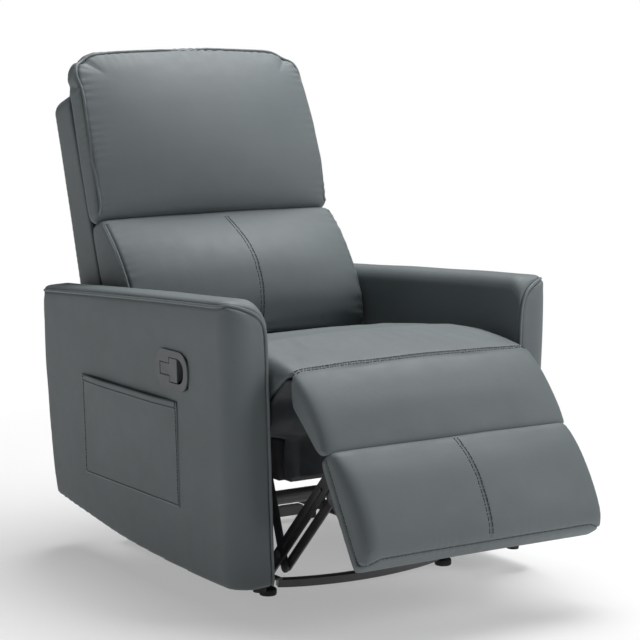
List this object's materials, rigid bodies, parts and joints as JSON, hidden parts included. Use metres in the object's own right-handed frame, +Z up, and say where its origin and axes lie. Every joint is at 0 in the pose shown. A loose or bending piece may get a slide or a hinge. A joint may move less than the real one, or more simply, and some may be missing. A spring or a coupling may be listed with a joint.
{
  "type": "recliner armchair",
  "caption": "Manual recliner armchair with tilting two-pad back, folding footrest on a steel link mechanism, padded arms, recessed release lever and side pocket.",
  "frame": {"origin": "on the floor, under the middle of the bounding box", "axes": "the chair faces -Y; +X to the right as seen from the front, with the release lever on the -X arm; +Y to the back; +Z up"},
  "size_m": [0.7246, 1.1122, 0.9822],
  "materials": {
    "slate_leatherette": "satin, fine grain",
    "black_cloth": "matt",
    "black_steel": "semi-gloss black powder coat",
    "timber": "raw",
    "spring_steel": "oiled",
    "grey_plastic": "fine matt texture",
    "black_rubber": "matt"
  },
  "bodies": {
    "chassis": {"seat_cushion": "slate_leatherette", "seat_front_rail": "black_steel", "seat_rear_rail": "timber", "front_dust_cover": "black_cloth", "seat_spring_1": "spring_steel", "seat_spring_2": "spring_steel", "seat_spring_3": "spring_steel", "front_cross_bar": "black_steel", "rear_cross_bar": "black_steel", "drive_tube": "black_steel", "side_pocket": "slate_leatherette", "lever_bezel": "grey_plastic", "latch_housing": "black_steel", "release_cable": "black_rubber", "arm_pad_left": "slate_leatherette", "arm_pad_right": "slate_leatherette", "arm_frame_left": "timber", "arm_frame_right": "timber", "arm_glide_left": "black_rubber", "arm_glide_right": "black_rubber", "arm_bracket_left": "black_steel", "arm_bracket_right": "black_steel", "base_rail_left": "black_steel", "base_rail_right": "black_steel", "foot_front_left": "black_rubber", "foot_front_right": "black_rubber", "foot_rear_left": "black_rubber", "foot_rear_right": "black_rubber", "side_plate_left": "black_steel", "side_plate_right": "black_steel", "seat_rail_left": "black_cloth", "seat_rail_right": "black_cloth"},
    "lever": {"lever_paddle": "grey_plastic"},
    "backrest": {"head_pillow": "slate_leatherette", "lumbar_pad": "slate_leatherette", "back_top": "slate_leatherette", "rear_cover": "slate_leatherette", "back_side_left": "slate_leatherette", "back_side_right": "slate_leatherette", "back_rail_upper": "timber", "back_rail_middle": "timber", "back_rail_lower": "timber", "back_bracket_left": "black_steel", "back_bracket_right": "black_steel", "back_spring_1": "spring_steel", "back_spring_2": "spring_steel", "back_spring_3": "spring_steel"},
    "rear_links": {"rear_link_left": "black_steel", "rear_link_right": "black_steel"},
    "front_links": {"front_link_left": "black_steel", "front_link_right": "black_steel"},
    "rear_control_links": {"rear_control_link_left": "black_steel", "rear_control_link_right": "black_steel"},
    "front_control_links": {"front_control_link_left": "black_steel", "front_control_link_right": "black_steel"},
    "footrest": {"footrest_pad": "slate_leatherette", "footrest_board": "black_cloth", "footrest_bracket_left": "black_steel", "footrest_bracket_right": "black_steel"},
    "chaise": {"chaise_pad": "slate_leatherette"}
  },
  "joints": [
    {"name": "back_recline", "type": "hinge", "parent": "chassis", "child": "backrest", "pos_m": [0, 0.28, 0.33], "axis": [-1, 0, 0], "range_deg": [-4, 28]},
    {"name": "footrest_extend", "type": "hinge", "parent": "chassis", "child": "rear_links", "pos_m": [0, -0.18, 0.287], "axis": [-1, 0, 0], "range_deg": [-36, 50]},
    {"name": "link_cross", "type": "hinge", "parent": "rear_links", "child": "front_links", "pos_m": [0, -0.245, 0.101], "axis": [-1, 0, 0], "range_deg": [-50, 36]},
    {"name": "footrest_turn", "type": "hinge", "parent": "front_links", "child": "footrest", "pos_m": [0, -0.395, 0.259], "axis": [-1, 0, 0], "range_deg": [-36, 50]},
    {"name": "rear_control_turn", "type": "hinge", "parent": "chassis", "child": "rear_control_links", "pos_m": [0, -0.14902, 0.25436], "axis": [-1, 0, 0], "range_deg": [-36, 50]},
    {"name": "front_control_turn", "type": "hinge", "parent": "rear_links", "child": "front_control_links", "pos_m": [0, -0.25292, 0.07834], "axis": [-1, 0, 0], "range_deg": [-50, 36]},
    {"name": "chaise_fold", "type": "hinge", "parent": "chassis", "child": "chaise", "pos_m": [0, -0.33, 0.445], "axis": [-1, 0, 0], "range_deg": [-36, 50]},
    {"name": "lever_pull", "type": "hinge", "parent": "chassis", "child": "lever", "pos_m": [-0.35568, -0.044, 0.42207], "axis": [-0.03, 0, 0.9995], "range_deg": [-28, 0], "stiffness_Nm_per_rad": 0.25, "springref_deg": 5.73}
  ],
  "couplings": [
    {"joint": "link_cross", "follows": "footrest_extend", "ratio": -1},
    {"joint": "footrest_turn", "follows": "footrest_extend", "ratio": 1},
    {"joint": "rear_control_turn", "follows": "footrest_extend", "ratio": 1},
    {"joint": "front_control_turn", "follows": "footrest_extend", "ratio": -1},
    {"joint": "chaise_fold", "follows": "footrest_extend", "ratio": 1}
  ]
}
